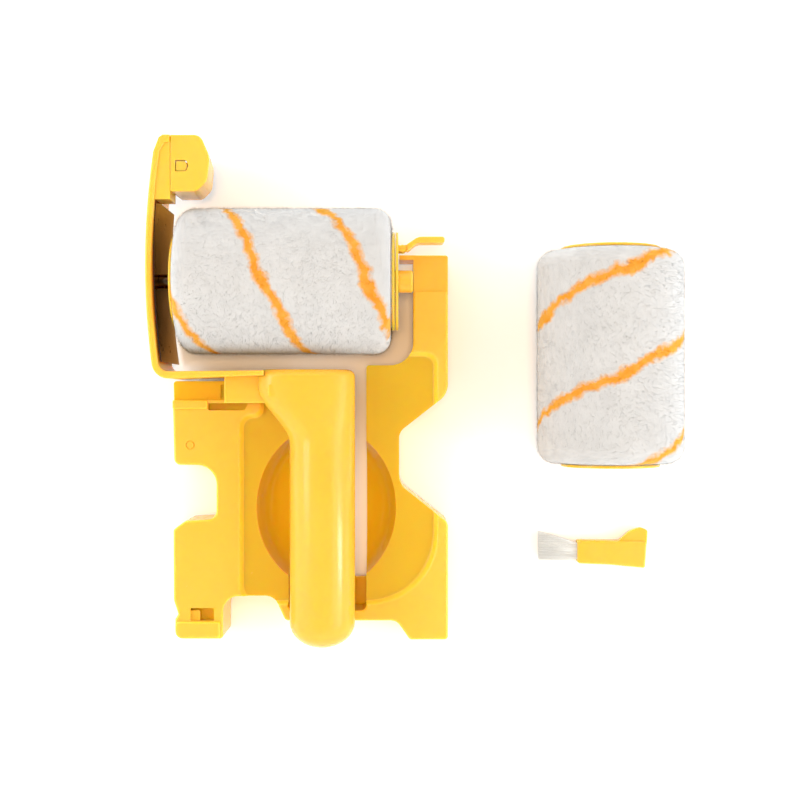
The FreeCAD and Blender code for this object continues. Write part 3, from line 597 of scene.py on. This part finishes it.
def make_pile(name, node, body, turn, seed, material):
    obj = new_object(name, pile_mesh(name, seed), middle(node), turn)
    obj.data.materials.append(material)
    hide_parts(node)
    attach(obj, body)


# ---------------------------------------------------------------- bristles


def filament_faces():
    """Quads along every filament, and a face over each of its two ends."""
    sides, levels = BRISTLE_SIDES, len(BRISTLE_LEVELS)
    faces = []
    for start in range(0, BRISTLES * levels * sides, levels * sides):
        rings = [range(first, first + sides) for first in range(start, start + levels * sides, sides)]
        for ring, next_ring in zip(rings, rings[1:]):
            for c in range(sides):
                d = (c + 1) % sides
                faces.append((ring[c], ring[d], next_ring[d], next_ring[c]))
        faces.append(tuple(reversed(rings[0])))
        faces.append(tuple(rings[-1]))
    return faces


def make_bristles(material):
    """Straight filaments that fan out a little from the handle's socket to an evenly cut end."""
    low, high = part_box("brush_bristles")
    rng = np.random.default_rng(31)
    socket_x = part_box("brush_handle")[0].x + 1.0 * MM
    socket_low, socket_high = low.y + 0.5 * MM, low.y + 7.8 * MM
    across, deep = rng.uniform(0, 1, BRISTLES), rng.uniform(0, 1, BRISTLES)
    root = np.stack([
        np.full(BRISTLES, socket_x),
        socket_low + across * (socket_high - socket_low),
        (1.95 + 2.4 * deep) * MM,
    ], -1)
    tip_across = np.clip(across + rng.normal(0, 0.03, BRISTLES), 0, 1)
    tip = np.stack([
        low.x + rng.uniform(0.1, 0.9, BRISTLES) * MM,
        low.y + 0.15 * MM + tip_across * (high.y - low.y - 0.3 * MM),
        (1.15 + 3.6 * np.clip(deep + rng.normal(0, 0.05, BRISTLES), 0, 1)) * MM,
    ], -1)
    bow = rng.normal(0, BRISTLE_BOW, (BRISTLES, 3)) * np.array([0.0, 1.0, 0.5])
    points = []
    for t in BRISTLE_LEVELS:
        centre = root * (1 - t) + tip * t + bow * math.sin(math.pi * t)
        for c in range(BRISTLE_SIDES):
            a = c * TURN / BRISTLE_SIDES
            spoke = np.array([0.0, math.cos(a), math.sin(a)])
            points.append(centre + spoke * BRISTLE_R * (1 - BRISTLE_TAPER * t))
    mesh = bpy.data.meshes.new("bristle_filaments")
    mesh.from_pydata(np.stack(points, 1).reshape(-1, 3).tolist(), [], filament_faces())
    mesh.update()
    obj = new_object("bristle_filaments", mesh)
    mesh.materials.append(material)
    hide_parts("brush_bristles")
    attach(obj, "detail_brush")


# ---------------------------------------------------------------- room


def make_table():
    mesh = bpy.data.meshes.new("floor")
    side = TABLE_SIDE
    corners = [(-side, -side, 0), (side, -side, 0), (side, side, 0), (-side, side, 0)]
    mesh.from_pydata(corners, [], [(0, 1, 2, 3)])
    floor = new_object("floor", mesh, Vector((0, 0, -TABLE_DROP)))
    material, tree, shader = new_material("floor_white")
    fill_in(tree, shader, {
        "Base Color": shaded(tree, noise(tree, scale=2.0), TABLE_WHITE),
        "Roughness": 0.8,
    })
    mesh.materials.append(material)


def area_light(name, spot, target, size, watts, colour, mirrored):
    """A soft box. Where it isn't mirrored, it lights surfaces and leaves no highlight on them."""
    data = bpy.data.lights.new(name, "AREA")
    data.shape = "RECTANGLE"
    data.size, data.size_y = size
    data.energy = watts
    data.color = colour
    light = bpy.data.objects.new(name, data)
    bpy.context.scene.collection.objects.link(light)
    light.location = spot
    light.visible_glossy = mirrored
    light.rotation_euler = (Vector(target) - Vector(spot)).to_track_quat("-Z", "Y").to_euler()


def make_light():
    world = bpy.data.worlds.new("studio")
    bpy.context.scene.world = world
    world.use_nodes = True
    tree = world.node_tree
    direction = tree.nodes.new("ShaderNodeTexCoord").outputs["Generated"]
    fill_in(tree, tree.nodes["Background"], {
        "Color": ramp(tree, split(tree, direction)["Z"], SKY),
        "Strength": SKY_STRENGTH,
    })
    for light in LIGHTS:
        area_light(*light)


def make_camera():
    data = bpy.data.cameras.new("camera")
    data.lens, data.sensor_width = CAMERA_LENS, SENSOR
    camera = bpy.data.objects.new("camera", data)
    bpy.context.scene.collection.objects.link(camera)
    camera.location = CAMERA_SPOT
    bpy.context.scene.camera = camera
    view = bpy.context.scene.view_settings
    view.view_transform = "Standard"
    view.look = "None"


make_camera()
make_light()
make_table()
materials = make_materials()
dress_nodes(materials)
make_pile("roller_pile", "roller_nap", "roller", 0.0, 11, materials["pile"])
make_pile("spare_pile", "spare_nap", "spare_sleeve", math.pi / 2, 12, materials["pile"])
make_bristles(materials["bristle"])
